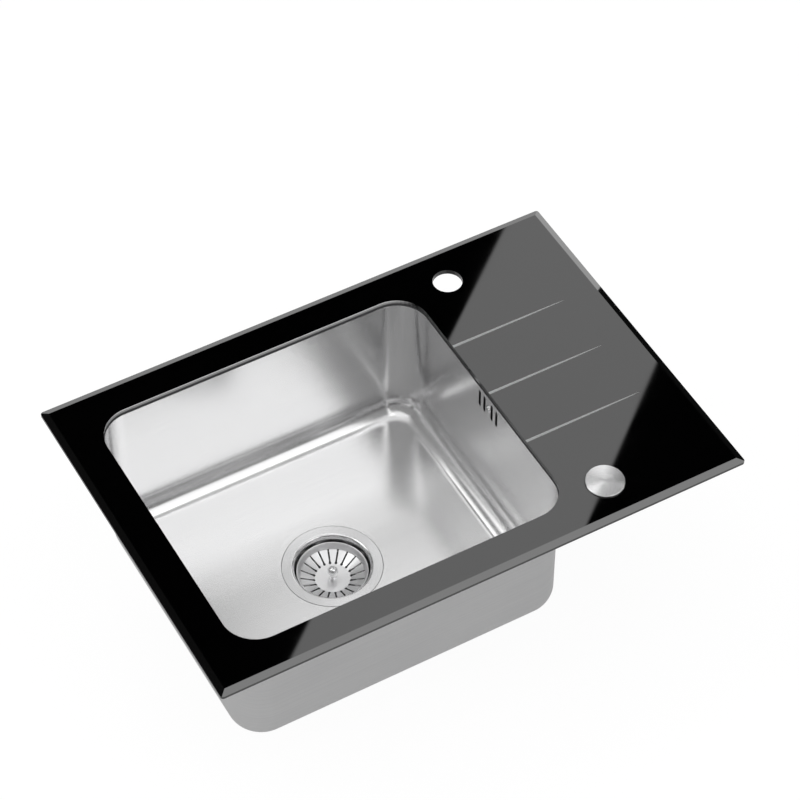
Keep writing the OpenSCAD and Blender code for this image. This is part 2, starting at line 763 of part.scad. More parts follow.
module button_nut() {
    top = glass_z - washer_t;
    color(BLACK_PLASTIC) at_button() difference() {
        union() {
            translate([0, 0, top - 2]) cylinder(r = washer_r, h = 2);
            translate([0, 0, top - nut_t]) cylinder(r = nut_r, h = nut_t - 1, $fn = 6);
        }
        translate([0, 0, top - nut_t - 1]) cylinder(r = sleeve_r + fit_gap, h = nut_t + 2);
    }
}

// Closed latch cartridge that ends the sleeve, with the cable's socket below
module button_cartridge() {
    plug_h = 5;
    socket_len = 8;
    color(WHITE_PLASTIC) at_button() difference() {
        union() {
            translate([0, 0, sleeve_end]) cylinder(r = chamber_r - fit_gap, h = plug_h);
            translate([0, 0, sleeve_end - 3]) cylinder(r = sleeve_r - 1, h = 3);
            translate([0, 0, sleeve_end - 3 - socket_len]) cylinder(r = cable_r + 2.2, h = socket_len + 1);
        }
        translate([0, 0, sleeve_end - 4 - socket_len]) cylinder(r = cable_r, h = socket_len + 1);
        translate([0, 0, sleeve_end - 5]) cylinder(r = wire_r, h = plug_h + 6);
    }
}

glass_top();
rim_seal();
bowl();
bowl_bond();
sound_pads();
overflow_gasket();
overflow_housing();
overflow_screw();
strainer_cup();
cup_gasket();
body_gasket();
waste_body();
clamp_screw();
lift_pin();
lift_rocker();
rocker_gland();
cable_anchor();
basket();
basket_stem();
basket_plug();
basket_nut();
button_cap();
button_stem();
button_sleeve();
button_washer();
button_nut();
button_cartridge();
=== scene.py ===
"""Looks of the glass kitchen sink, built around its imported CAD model.

Metres in the CAD's frame: +X runs along the drainer, +Y to the back and +Z up, and the worktop is z = 0.
"""

import math

import bmesh
import bpy
from mathutils import Matrix, Vector


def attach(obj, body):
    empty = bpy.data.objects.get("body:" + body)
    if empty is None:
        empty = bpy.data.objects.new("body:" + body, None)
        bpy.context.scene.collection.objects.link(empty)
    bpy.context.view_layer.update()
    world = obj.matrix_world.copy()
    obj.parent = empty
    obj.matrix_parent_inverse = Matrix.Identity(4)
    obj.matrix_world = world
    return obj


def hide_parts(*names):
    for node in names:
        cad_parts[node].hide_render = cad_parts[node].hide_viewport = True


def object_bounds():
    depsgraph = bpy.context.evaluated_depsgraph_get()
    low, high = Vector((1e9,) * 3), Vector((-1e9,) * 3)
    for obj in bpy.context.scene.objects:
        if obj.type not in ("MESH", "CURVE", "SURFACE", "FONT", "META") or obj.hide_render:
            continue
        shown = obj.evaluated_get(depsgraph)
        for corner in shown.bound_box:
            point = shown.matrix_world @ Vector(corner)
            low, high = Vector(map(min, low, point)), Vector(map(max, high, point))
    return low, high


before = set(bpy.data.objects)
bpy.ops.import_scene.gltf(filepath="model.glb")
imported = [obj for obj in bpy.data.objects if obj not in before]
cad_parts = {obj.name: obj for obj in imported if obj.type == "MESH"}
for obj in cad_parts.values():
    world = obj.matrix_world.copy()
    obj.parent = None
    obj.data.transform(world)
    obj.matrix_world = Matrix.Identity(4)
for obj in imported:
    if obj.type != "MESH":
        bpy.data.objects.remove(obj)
cad_box = [list(corner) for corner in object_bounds()]

MM = 0.001

# Bowl, in millimetres, as the CAD source states it
DRAIN_X = -77.0
BOWL_TOP = 0.5
BOWL_FLOOR = -179.5
INNER_W = 407.0
INNER_D = 359.0
WALL_R = 39.5
FLOOR_R = 25.0
LIP_R = 1.6
SHEET = 0.9
FLANGE = 16.0
RECESS_TOP_R = 61.75
RECESS_R = 59.45
RECESS_DROP = 2.3
DRAIN_HOLE_R = 45.5

# Edge of the drain's recess on the water side, steeper than the solid's: its radius at the floor, its
# rounding as steps (inwards, down from the floor) and its foot as steps (inwards, up from the recess)
RECESS_EDGE_R = 59.1
RECESS_ROUNDING = ((0.3, 0.1), (0.4, 0.4))
RECESS_FOOT = ((0.55, 0.15), (0.7, 0.0))

# Overflow slots and screw hole in the bowl's right wall, and how far their cutters reach in and out
OVERFLOW_Z = -18.5
OVERFLOW_LEN = 25.0
OVERFLOW_W = 4.6
OVERFLOW_YS = (-18.3, -8.0, 8.0, 18.3)
SCREW_HOLE_R = 2.7
CUT_IN = 2
CUT_OUT = 3

# Section of the sealant's dark line, which also stands in for the shade in the gap under the glass edge,
# as (offset from the bowl's inner wall, height)
SEALANT_AND_SHADE = ((0.06, -0.75), (0.02, -0.2), (-0.04, 0.5), (0.08, 1.3), (0.5, 1.62), (0.95, 1.3), (0.95, 0.6),
           (0.5, 0.0))

# Glass plate: its faces, the skin that counts as its top, where the drainer starts, and the half lengths
# within which nothing belongs to the bevel round its edge
GLASS_TOP = 7.5
GLASS_BOTTOM = 1.5
GLASS_SKIN = 0.01
DRAINER_X = 127.5
BEVEL_FREE_X = 316.0
BEVEL_FREE_Y = 214.0

# Stem, its collar on the basket's disc and its ball
DISC_Z = -202.5
STEM_R = 3.2
STEM_END = -210.2
STEM_CHAMFER = 0.4
STEM_HOLE_R = STEM_R + 0.1
COLLAR_R = 4.6
COLLAR_H = 1.6
COLLAR_GAP = 0.01
BALL_R = 6.5
BALL_Z = -190.2

# Basket: its rolled rim, and its sheet's section as (radius, height over the disc), the upper side outwards
# and the underside inwards
RIM_Z = -187.5
RIM_R = 42.0
BEAD_R = 1.1
BEAD_UP = RIM_Z - BEAD_R - DISC_Z
BASKET_T = 0.5
BASKET_UPPER = ((STEM_HOLE_R, 0.0), (20.4, 0.0), (21.3, 0.22), (36.6, 6.5), (37.5, 7.2), (38.1, 8.3),
                (39.7, BEAD_UP - 0.5))
BASKET_LOWER = ((40.3, BEAD_UP - 1.25), (38.6, 8.1), (37.9, 6.8), (36.85, 6.0), (21.5, 0.22 - BASKET_T),
                (20.5, -BASKET_T), (STEM_HOLE_R, -BASKET_T))

# The basket's slots: how many, the first one's turn, half their width, the round hole at their inner end,
# the radii of their two ends' centres, and how far their cutter reaches below and above the disc
SLOT_COUNT = 20
SLOT_TURN = 15.65
SLOT_HALF = 1.0
SLOT_HOLE_R = 1.6
SLOT_INNER_R = 21.9
SLOT_OUTER_R = 36.6
SLOT_DOWN = 3
SLOT_UP = 9

# The button's cap: its dome, rounded edge and wall, and its hollow as (radius, depth below the hollow's top)
BUTTON = (173.0, -173.0)
CAP_R = 22.5
CAP_TOP = 10.29
CAP_DOME = 0.8
CAP_ROUND = 0.92
CAP_WALL = 1.3
CAP_UNDER = 9.2
CAP_BOTTOM = 7.65
CAP_HOLLOW = ((CAP_R - CAP_WALL, 0.45), (20.0, 0.35), (14.0, 0.1), (9.0, 0.0), (0.0, 0.0))

# Fineness of the meshes, in steps, and the flange's middle loop
FLANGE_MID = 9.0
CORNER_STEPS = 20
SIDE_STEPS = 12
WALL_STEPS = 8
COVE_STEPS = 18
LIP_STEPS = 6
SLOT_END_STEPS = 10
BASKET_STEPS = 160
STEM_STEPS = 64
CAP_STEPS = 96
DOME_STEPS = 8

# Edges sharper than these angles in degrees stay sharp
BOWL_CREASE = 30
PIECE_CREASE = 32

# The cove's brushing turns from the wall's to the floor's: from which share of its depth and over which
TURN_START = 0.45
TURN_SPAN = 0.5

# Looks of the glass: index of refraction, tints, roughness where it is polished and where it is ground, and
# the painted shade and highlight on the opening's ground face, from dark at its lower arris to a painted
# highlight at its upper arris
GLASS_IOR = 1.7
GLASS_TINTS = ((0.0005, 0.0005, 0.0006, 1), (0.0010, 0.0010, 0.0011, 1))
GROOVE_TINTS = ((0.44, 0.45, 0.45, 1), (0.56, 0.57, 0.57, 1))
POLISHED_ROUGH = (0.01, 0.03)
GROUND_ROUGH = (0.42, 0.55)
FACE_LOW = 0.04
FACE_STOPS = ((0.25, 0.10), (0.34, 0.42), (0.74, 0.46), (0.82, 0.95))
FACE_HIGH = 0.95

# Parts of a normal: from which Z it faces up in the grooves, between which Y the opening's far face, which
# faces the front, turns ground and takes its painted highlight, and between which Z a face of the bowl turns
# level
FACING_UP = 0.3
FACING_FRONT = (-0.55, -0.98)
FACING_LEVEL = (0.95, 0.999)

# Looks of the steel: tints of the bowl's two sides, the outside's darker one being painted shade, how much
# rougher its outside is, and the turned rings
WATER_TINTS = ((0.86, 0.86, 0.865, 1), (0.90, 0.90, 0.90, 1))
OUTSIDE_SHADED_TINTS = ((0.50, 0.50, 0.505, 1), (0.56, 0.56, 0.56, 1))
MILL_ROUGHER = 0.12
RING_PITCH = 0.3
RING_SHADE = 0.95

# Painted shade darkens the strainer cup's wall, down in the drain below its flange: below which height, over
# which fade and by which share
CUP_SHADE_Z = -186.0
SHADE_FADE = 6.0
SHADE_SHARE = 0.45

# The photograph's view, solved from the plate's edges, the opening's edges and the circles
CAMERA_AZIMUTH = -29.35
CAMERA_ELEVATION = 49.04
CAMERA_TARGET = (0.03503, 0.04045, 0.0075)
CAMERA_DISTANCE = 3.33954
CAMERA_LENS = 133.8615
CAMERA_SENSOR = 36.0
CAMERA_CLIP = 100.0

# The floor: half its size, its gap below the sink, its tone, its light, and which share of it is light to
# the camera, in reflections and through glass
FLOOR_SIZE = 30.0
FLOOR_GAP = 0.0005
FLOOR_TONE = 0.80
FLOOR_LIGHT = 1.10
FLOOR_SHARES = (("Is Camera Ray", 0.85), ("Is Glossy Ray", 0.4), ("Is Transmission Ray", 0.4))

# Curved cards, which the bowl's brushed walls and cove show: azimuths, elevations and radiance
CARD_DISTANCE = 5.0
CARD_STEP = 5
CURVED_CARDS = (
    ("right_flag", (75, 140), (0, 46), 0.03),
    ("back_flag", (162, 227), (0, 53), 0.05),
    ("left_flag", (253, 366), (20, 64), 0.28),
    ("front_flag", (6, 75), (20, 36), 0.12),
    ("front_softbox", (6, 58), (37, 66), 1.2),
    ("low_front_softbox", (-92, 75), (9, 19), 1.6),
    ("left_softbox", (227, 253), (12, 56), 1.4),
    ("top_softbox", (172, 254), (54, 70), 1.9),
    ("top_flag", (62, 172), (53, 84), 0.3),
)

# The flat cards, which the glass and its bevels show, mostly face down. The strip makes the plate's pale
# band: its direction and the one beside it, its centre along both, and its height
DOWN = (0, 0, -1)
STRIP_ALONG = (0.767, 0.641, 0.0)
STRIP_ASIDE = (-0.641, 0.767, 0.0)
STRIP_CENTRE = (1.6, 0.378)
STRIP_Z = 2.0


# Mesh helpers

def add_object(name, bm, body):
    """Turns a bmesh in millimetres into a smooth-shaded object that rides on a body, or on none."""
    bmesh.ops.scale(bm, vec=(MM, MM, MM), verts=bm.verts)
    mesh = bpy.data.meshes.new(name)
    bm.to_mesh(mesh)
    bm.free()
    mesh.shade_smooth()
    obj = bpy.data.objects.new(name, mesh)
    bpy.context.scene.collection.objects.link(obj)
    if body:
        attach(obj, body)
    return obj


def arc(cx, cz, r, start, end, steps):
    """Points of an arc in a section, angles in degrees."""
    angles = [math.radians(start + (end - start) * i / steps) for i in range(steps + 1)]
    return [(cx + r * math.cos(a), cz + r * math.sin(a)) for a in angles]


def distances(points):
    """The way along a row of points from its first to each of them."""
    run = [0.0]
    for before, after in zip(points, points[1:]):
        run.append(run[-1] + (after - before).length)
    return run


def lathe(name, section, centre, body, steps, closed=False):
    """Turns a section of (radius, height) points round an upright axis."""
    bm = bmesh.new()
    cx, cy = centre
    turn = [math.tau * i / steps for i in range(steps)]
    rings = []
    for r, z in section:
        if r < 1e-6:
            rings.append([bm.verts.new((cx, cy, z))])
        else:
            rings.append([bm.verts.new((cx + r * math.cos(a), cy + r * math.sin(a), z)) for a in turn])
    pairs = list(zip(rings, rings[1:]))
    if closed:
        pairs.append((rings[-1], rings[0]))
    for low, high in pairs:
        for i in range(steps):
            j = (i + 1) % steps
            corners = [low[i % len(low)], low[j % len(low)], high[j % len(high)], high[i % len(high)]]
            bm.faces.new(list(dict.fromkeys(corners)))
    bmesh.ops.recalc_face_normals(bm, faces=bm.faces)
    return add_object(name, bm, body)


def sharpen(obj, angle):
    """Marks the edges that are sharper than an angle in degrees and evens the normals beside them."""
    obj.data.set_sharp_from_angle(angle=math.radians(angle))
    even = obj.modifiers.new("even", "WEIGHTED_NORMAL")
    even.keep_sharp = True


def cutter(name, outlines, axis, low, high):
    """Prisms along the axis X or Z as one tool, from flat outlines of points across that axis."""
    bm = bmesh.new()
    for outline in outlines:
        ends = [[bm.verts.new((level, a, b) if axis == "X" else (a, b, level)) for a, b in outline]
                for level in (low, high)]
        bm.faces.new(ends[0])
        bm.faces.new(list(reversed(ends[1])))
        for i in range(len(outline)):
            j = (i + 1) % len(outline)
            bm.faces.new((ends[0][i], ends[1][i], ends[1][j], ends[0][j]))
    bmesh.ops.recalc_face_normals(bm, faces=bm.faces)
    return add_object(name, bm, None)


def cut(obj, tools):
    """Cuts tools out of a piece and removes them. The piece is left without materials."""
    for tool in tools:
        boolean = obj.modifiers.new("cut", "BOOLEAN")
        boolean.operation = "DIFFERENCE"
        boolean.solver = "EXACT"
        boolean.object = tool
    graph = bpy.context.evaluated_depsgraph_get()
    mesh = bpy.data.meshes.new_from_object(obj.evaluated_get(graph))
    mesh.materials.clear()
    obj.modifiers.clear()
    obj.data = mesh
    for tool in tools:
        bpy.data.objects.remove(tool)


# Node materials

class Nodes:
    """A node material in the making. Inputs are values or other nodes' outputs, by socket name or number."""

    def __init__(self, name):
        self.material = bpy.data.materials.new(name)
        self.material.use_nodes = True
        self.tree = self.material.node_tree
        self.tree.nodes.clear()
        self.output = self.add("OutputMaterial")

    def add(self, kind, inputs=None, **settings):
        node = self.tree.nodes.new("ShaderNode" + kind)
        for key, value in settings.items():
            setattr(node, key, value)
        self.fill(node, inputs or {})
        return node

    def fill(self, node, inputs):
        for key, value in inputs.items():
            if isinstance(value, bpy.types.NodeSocket):
                self.tree.links.new(value, node.inputs[key])
            else:
                node.inputs[key].default_value = value

    def show(self, shader):
        """Makes a shader the material's surface."""
        self.fill(self.output, {"Surface": shader.outputs[0]})
        return self.material

    def math(self, operation, a, b=0.0, c=0.0):
        return self.add("Math", {0: a, 1: b, 2: c}, operation=operation).outputs[0]

    def ramp(self, value, start, end, low=0.0, high=1.0, **settings):
        """Maps a value from one range onto another and holds it there."""
        return self.add("MapRange", {"Value": value, "From Min": start, "From Max": end,
                                     "To Min": low, "To Max": high}, **settings).outputs[0]

    def split(self, vector):
        """The three parts of a vector."""
        return self.add("SeparateXYZ", {0: vector}).outputs


class Paint(Nodes):
    """The look of a piece: one principled shader, with textures in the part's own metres."""

    def __init__(self, name):
        super().__init__(name)
        self.shader = self.add("BsdfPrincipled")
        self.show(self.shader)
        self.place = self.add("TexCoord").outputs["Object"]

    def vector(self, operation, a, b=(0.0, 0.0, 0.0)):
        return self.add("VectorMath", {0: a, 1: b}, operation=operation).outputs[0]

    def scaled(self, vector, scale):
        return self.add("Mapping", {"Vector": vector, "Scale": scale}).outputs[0]

    def noise(self, vector, scale, detail):
        return self.add("TexNoise", {"Vector": vector, "Scale": scale, "Detail": detail}).outputs["Fac"]

    def streaks(self, vector, scale, detail):
        """Noise that is drawn out: scale has a number for each axis."""
        return self.noise(self.scaled(vector, scale), 1.0, detail)

    def spread(self, value, low=0.0, high=1.0):
        """Maps a noise value of 0.3 to 0.7 onto a range."""
        return self.ramp(value, 0.3, 0.7, low, high)

    def blend(self, share, a, b):
        """Mixes two colours."""
        node = self.add("Mix", data_type="RGBA")
        self.fill(node, {0: share, 6: a, 7: b})
        return node.outputs[2]

    def mix(self, share, a, b):
        """Mixes two numbers."""
        node = self.add("Mix", data_type="FLOAT")
        self.fill(node, {0: share, 2: a, 3: b})
        return node.outputs[0]

    def turn(self, share, a, b):
        """Mixes two directions."""
        node = self.add("Mix", data_type="VECTOR")
        self.fill(node, {0: share, 4: a, 5: b})
        return node.outputs[1]

    def bump(self, height, strength, distance):
        return self.add("Bump", {"Height": height, "Strength": strength, "Distance": distance}).outputs[0]

    def finish(self, **inputs):
        names = {"base": "Base Color", "metallic": "Metallic", "roughness": "Roughness", "normal": "Normal",
                 "ior": "IOR", "anisotropy": "Anisotropic", "tangent": "Tangent"}
        self.fill(self.shader, {names[key]: value for key, value in inputs.items()})
        return self.material


def ground_and_highlight_share(paint, x, y, z, drainer):
    """Where the glass is ground: in the drainer's grooves, and on the far face of the opening, which alone
    faces the front and carries a painted shade and highlight.
    """
    facing = paint.split(paint.add("NewGeometry").outputs["True Normal"])
    below_top = paint.math("LESS_THAN", z, (GLASS_TOP - GLASS_SKIN) * MM)
    for axis, half in ((x, BEVEL_FREE_X), (y, BEVEL_FREE_Y)):
        within = paint.math("LESS_THAN", paint.math("ABSOLUTE", axis), half * MM)
        below_top = paint.math("MULTIPLY", below_top, within)
    upward = paint.math("MULTIPLY", drainer, paint.math("GREATER_THAN", facing[2], FACING_UP))
    rear = paint.math("MULTIPLY", paint.ramp(facing[1], *FACING_FRONT), paint.math("SUBTRACT", 1.0, drainer))
    return paint.math("MULTIPLY", below_top, paint.math("MAXIMUM", upward, rear))


def painted_face_highlight(paint, z):
    """Painted shade and highlight on the opening's ground face: dark at its lower arris, brightening to a
    painted highlight towards its upper arris.
    """
    face = paint.add("ValToRGB", {0: paint.ramp(z, GLASS_BOTTOM * MM, GLASS_TOP * MM)})
    stops = face.color_ramp.elements
    for position, level in FACE_STOPS:
        stops.new(position).color = (level, level, level, 1.0)
    stops[0].color = (FACE_LOW, FACE_LOW, FACE_LOW, 1.0)
    stops[-1].color = (FACE_HIGH, FACE_HIGH, FACE_HIGH, 1.0)
    return face.outputs[0]


def black_glass():
    """Toughened glass, enamelled black behind: a clean gloss with faint rolling waves and wipe marks.
    The drainer grooves are ground, so they are pale and matt, and the far edge of the opening has a ground
    face with painted shade low down and a painted highlight at its upper arris."""
    paint = Paint("black_glass")
    x, y, z = paint.split(paint.place)
    drainer = paint.math("GREATER_THAN", x, DRAINER_X * MM)
    wipes = paint.streaks(paint.place, scale=(5.0, 14.0, 5.0), detail=4.0)
    waves = paint.noise(paint.place, scale=2.2, detail=1.0)
    grains = paint.noise(paint.place, scale=2500.0, detail=3.0)
    # The ground mask covers the grooves and the opening's far face; on that face the tint is painted shade
    # and highlight
    ground = ground_and_highlight_share(paint, x, y, z, drainer)
    groove_tint = paint.blend(paint.spread(grains), *GROOVE_TINTS)
    ground_tint_and_highlight = paint.blend(drainer, painted_face_highlight(paint, z), groove_tint)
    tint = paint.blend(paint.spread(waves), *GLASS_TINTS)
    polished, matt = paint.spread(wipes, *POLISHED_ROUGH), paint.spread(grains, *GROUND_ROUGH)
    return paint.finish(
        base=paint.blend(ground, tint, ground_tint_and_highlight), roughness=paint.mix(ground, polished, matt),
        ior=GLASS_IOR, normal=paint.bump(waves, strength=0.02, distance=0.0004))


def across_brushing(paint, floor):
    """The direction across the bowl's brushing, which runs round the walls and along X on level faces."""
    normal = paint.add("NewGeometry").outputs["Normal"]
    around_walls = paint.vector("CROSS_PRODUCT", normal, (0.0, 0.0, 1.0))
    level_face = paint.ramp(paint.math("ABSOLUTE", paint.split(normal)[2]), *FACING_LEVEL)
    along = paint.turn(paint.math("MAXIMUM", floor, level_face), around_walls, (1.0, 0.0, 0.0))
    return paint.vector("NORMALIZE", paint.vector("CROSS_PRODUCT", normal, along))


def brushed_bowl():
    """Pressed sheet, brushed round the walls and lengthwise on the floor, and rougher outside, where its
    tint is darkened with painted shade.
    """
    paint = Paint("bowl_steel")
    around = paint.add("UVMap", uv_map="around").outputs[0]
    floor = paint.add("Attribute", attribute_name="floor_share").outputs["Fac"]
    outside = paint.add("Attribute", attribute_name="outside").outputs["Fac"]
    grain = paint.mix(floor, paint.streaks(around, scale=(14.0, 1900.0, 1.0), detail=3.0),
                      paint.streaks(paint.place, scale=(14.0, 1700.0, 60.0), detail=3.0))
    streaks = paint.mix(floor, paint.streaks(around, scale=(4.0, 420.0, 1.0), detail=2.0),
                        paint.streaks(paint.place, scale=(4.0, 380.0, 20.0), detail=2.0))
    clouds = paint.noise(paint.place, scale=9.0, detail=2.0)
    rough = paint.math("ADD", paint.spread(grain, -0.02, 0.02), paint.spread(clouds, 0.20, 0.22))
    level = paint.spread(paint.math("ADD", paint.math("MULTIPLY", streaks, 0.6),
                                    paint.math("MULTIPLY", clouds, 0.4)))
    # The outside's darker tint is painted shade; its rougher mill finish is real
    return paint.finish(
        base=paint.blend(outside, paint.blend(level, *WATER_TINTS), paint.blend(level, *OUTSIDE_SHADED_TINTS)),
        metallic=1.0, roughness=paint.mix(outside, rough, paint.math("ADD", rough, MILL_ROUGHER)),
        anisotropy=0.5, tangent=across_brushing(paint, floor),
        normal=paint.bump(grain, strength=0.1, distance=0.00002))


def turned_steel(name, centre, base, rough, anisotropy, shade_below=None):
    """Satin steel with the fine rings that turning leaves round an upright axis. Where a height is given for
    it, painted shade darkens the tint below that height, as down in a recess."""
    paint = Paint(name)
    local = paint.vector("SUBTRACT", paint.place, (centre[0] * MM, centre[1] * MM, 0.0))
    flat = paint.vector("MULTIPLY", local, (1.0, 1.0, 0.0))
    radius = paint.add("VectorMath", {0: flat}, operation="LENGTH").outputs["Value"]
    height = paint.split(paint.place)[2]
    across = paint.math("ADD", radius, paint.math("MULTIPLY", height, 0.7))
    swept = paint.add("CombineXYZ", {0: paint.math("MULTIPLY", across, 1.0 / (RING_PITCH * MM))}).outputs[0]
    wander = paint.scaled(paint.place, (6.0, 6.0, 6.0))
    rings = paint.noise(paint.vector("ADD", swept, wander), scale=1.0, detail=2.0)
    clouds = paint.noise(paint.place, scale=40.0, detail=2.0)
    tint = paint.blend(paint.spread(rings), tuple(RING_SHADE * c for c in base) + (1,), base + (1,))
    # Painted shade: darker below the given height, down in the drain
    if shade_below is not None:
        depth = paint.ramp(height, shade_below * MM, (shade_below - SHADE_FADE) * MM)
        tint = paint.blend(depth, tint, tuple(SHADE_SHARE * c for c in base) + (1,))
    fine, broad = paint.spread(rings, -0.03, 0.03), paint.spread(clouds, rough, rough + 0.02)
    return paint.finish(
        base=tint, metallic=1.0, roughness=paint.math("ADD", fine, broad),
        anisotropy=anisotropy, tangent=paint.vector("NORMALIZE", flat),
        normal=paint.bump(rings, strength=0.12, distance=0.00002))


def bright_steel(name, level, rough):
    """Polished or satin steel with a few fine handling marks."""
    paint = Paint(name)
    marks = paint.streaks(paint.place, scale=(300.0, 300.0, 900.0), detail=3.0)
    clouds = paint.noise(paint.place, scale=120.0, detail=2.0)
    dark, pale = (level - 0.06, level - 0.06, level - 0.05, 1), (level, level, level + 0.005, 1)
    return paint.finish(
        base=paint.blend(paint.spread(clouds), dark, pale), metallic=1.0,
        roughness=paint.spread(marks, rough - 0.04, rough + 0.04),
        normal=paint.bump(marks, strength=0.12, distance=0.00002))


def moulded(name, low, high, rough, grain):
    """Moulded plastic or rubber with a fine eroded grain and slow tone shifts."""
    paint = Paint(name)
    spark = paint.noise(paint.place, scale=1.0 / (grain * MM), detail=3.0)
    clouds = paint.noise(paint.place, scale=60.0, detail=3.0)
    fine, broad = paint.spread(spark, -0.05, 0.05), paint.spread(clouds, rough, rough + 0.06)
    return paint.finish(
        base=paint.blend(paint.spread(clouds), low + (1,), high + (1,)),
        roughness=paint.math("ADD", fine, broad), normal=paint.bump(spark, strength=0.25, distance=0.0001))


def brass():
    """Turned brass, a little dulled."""
    paint = Paint("brass")
    rings = paint.streaks(paint.place, scale=(2400.0, 90.0, 90.0), detail=2.0)
    clouds = paint.noise(paint.place, scale=180.0, detail=3.0)
    return paint.finish(
        base=paint.blend(paint.spread(clouds), (0.62, 0.47, 0.21, 1), (0.76, 0.61, 0.32, 1)),
        metallic=1.0, roughness=paint.spread(rings, 0.22, 0.36),
        normal=paint.bump(rings, strength=0.25, distance=0.00003))


# The pressed bowl and its sealant, whose dark line also stands in for shade under the glass edge

def bowl_loop(bm, offset, z):
    """One closed loop of the bowl, as far outside its inner wall as offset says."""
    half_w = INNER_W / 2 - WALL_R
    half_d = INNER_D / 2 - WALL_R
    r = WALL_R + offset
    signs = ((1, 1), (-1, 1), (-1, -1), (1, -1))
    points = []
    for quarter, (sx, sy) in enumerate(signs):
        start = quarter * math.pi / 2
        for i in range(CORNER_STEPS + 1):
            a = start + math.pi / 2 * i / CORNER_STEPS
            points.append((sx * half_w + r * math.cos(a), sy * half_d + r * math.sin(a)))
        next_sx, next_sy = signs[(quarter + 1) % 4]
        end = start + math.pi / 2
        first = points[-1]
        last = (next_sx * half_w + r * math.cos(end), next_sy * half_d + r * math.sin(end))
        for i in range(1, SIDE_STEPS):
            share = i / SIDE_STEPS
            points.append((first[0] + (last[0] - first[0]) * share, first[1] + (last[1] - first[1]) * share))
    return [bm.verts.new((DRAIN_X + x, y, z)) for x, y in points]


def drain_loop(bm, outer, r, z, share):
    """A loop between the floor's edge and the drain's circle: share 1 is the circle itself."""
    loop = []
    for vert in outer:
        x, y = vert.co.x - DRAIN_X, vert.co.y
        scale = r / math.hypot(x, y)
        loop.append(bm.verts.new((DRAIN_X + x + (x * scale - x) * share, y + (y * scale - y) * share, z)))
    return loop


def wall_sections():
    """The sheet's section outside the recess, as (offset from the inner wall, height): the water side from
    the flange to the floor, and the outside back to the flange."""
    wall_top, wall_end = BOWL_TOP - LIP_R, BOWL_FLOOR + FLOOR_R
    wall = [(0.0, wall_top + (wall_end - wall_top) * i / WALL_STEPS) for i in range(1, WALL_STEPS)]
    water = [(FLANGE, BOWL_TOP), (FLANGE_MID, BOWL_TOP)]
    water += arc(LIP_R, wall_top, LIP_R, 90, 180, LIP_STEPS) + wall
    water += arc(-FLOOR_R, wall_end, FLOOR_R, 0, -90, COVE_STEPS)
    under = arc(-FLOOR_R, wall_end, FLOOR_R + SHEET, -90, 0, COVE_STEPS)
    under += [(SHEET, z) for _, z in reversed(wall)]
    under += arc(LIP_R, wall_top, LIP_R - SHEET, 180, 90, LIP_STEPS)
    under += [(FLANGE_MID, BOWL_TOP - SHEET), (FLANGE, BOWL_TOP - SHEET)]
    return water, under


def recess_sections():
    """The sheet's section at the drain, as (radius, height, share of the circle): the water side inwards,
    and the outside back again."""
    low = BOWL_FLOOR - RECESS_DROP
    water = [(RECESS_EDGE_R, BOWL_FLOOR, share) for share in (0.2, 0.4, 0.6, 0.8, 1.0)]
    water += [(RECESS_EDGE_R - inwards, BOWL_FLOOR - down, 1.0) for inwards, down in RECESS_ROUNDING]
    water += [(RECESS_EDGE_R - inwards, low + up, 1.0) for inwards, up in RECESS_FOOT]
    water.append((DRAIN_HOLE_R, low, 1.0))
    under = [(DRAIN_HOLE_R, low - SHEET, 1.0), (RECESS_R, low - SHEET, 1.0),
             (RECESS_TOP_R, BOWL_FLOOR - SHEET, 1.0), (RECESS_TOP_R, BOWL_FLOOR - SHEET, 0.5)]
    return water, under


def mark_sides(bm, loops, water_count):
    """Gives each vertex its share of the floor's brushing, and says whether it is outside: the first loops,
    as many as water_count says, are on the water side."""
    floor_share = bm.verts.layers.float["floor_share"]
    outside = bm.verts.layers.float["outside"]
    wall_end = BOWL_FLOOR + FLOOR_R
    for index, loop in enumerate(loops):
        for vert in loop:
            depth = (wall_end - vert.co.z) / FLOOR_R
            vert[floor_share] = min(1.0, max(0.0, (depth - TURN_START) / TURN_SPAN))
            vert[outside] = float(index >= water_count)


def skin_bowl(bm, loops):
    """Joins the loops into a closed sheet, with a UV map in metres round the bowl and along its section."""
    uv = bm.loops.layers.uv["around"]
    lip = loops[2]
    around = distances([vert.co for vert in lip + lip[:1]])
    along = distances([loop[0].co for loop in loops])
    for row, low in enumerate(loops):
        next_row = (row + 1) % len(loops)
        high = loops[next_row]
        for i in range(len(low)):
            j = (i + 1) % len(low)
            face = bm.faces.new((low[i], low[j], high[j], high[i]))
            places = ((around[i], along[row]), (around[i + 1], along[row]),
                      (around[i + 1], along[next_row]), (around[i], along[next_row]))
            for corner, (u, v) in zip(face.loops, places):
                corner[uv].uv = (u * MM, v * MM)


def bowl_shell():
    """Flange, lip, wall, cove, floor and drain recess as one closed sheet."""
    bm = bmesh.new()
    bm.loops.layers.uv.new("around")
    bm.verts.layers.float.new("floor_share")
    bm.verts.layers.float.new("outside")
    water, under = wall_sections()
    recess, recess_under = recess_sections()
    loops = [bowl_loop(bm, x, z) for x, z in water]
    outer = loops[-1]
    loops += [drain_loop(bm, outer, r, z, share) for r, z, share in recess + recess_under]
    loops += [bowl_loop(bm, x, z) for x, z in under]
    mark_sides(bm, loops, len(water) + len(recess))
    skin_bowl(bm, loops)
    bmesh.ops.recalc_face_normals(bm, faces=bm.faces)
    return add_object("bowl_shell", bm, "sink")


def overflow_outline(y):
    """Outline of one overflow slot, as (y, z) in the wall's plane."""
    r = OVERFLOW_W / 2
    half = OVERFLOW_LEN / 2 - r
    upper = arc(y, OVERFLOW_Z + half, r, 0, 180, SLOT_END_STEPS)
    lower = arc(y, OVERFLOW_Z - half, r, 180, 360, SLOT_END_STEPS)
    return upper + lower


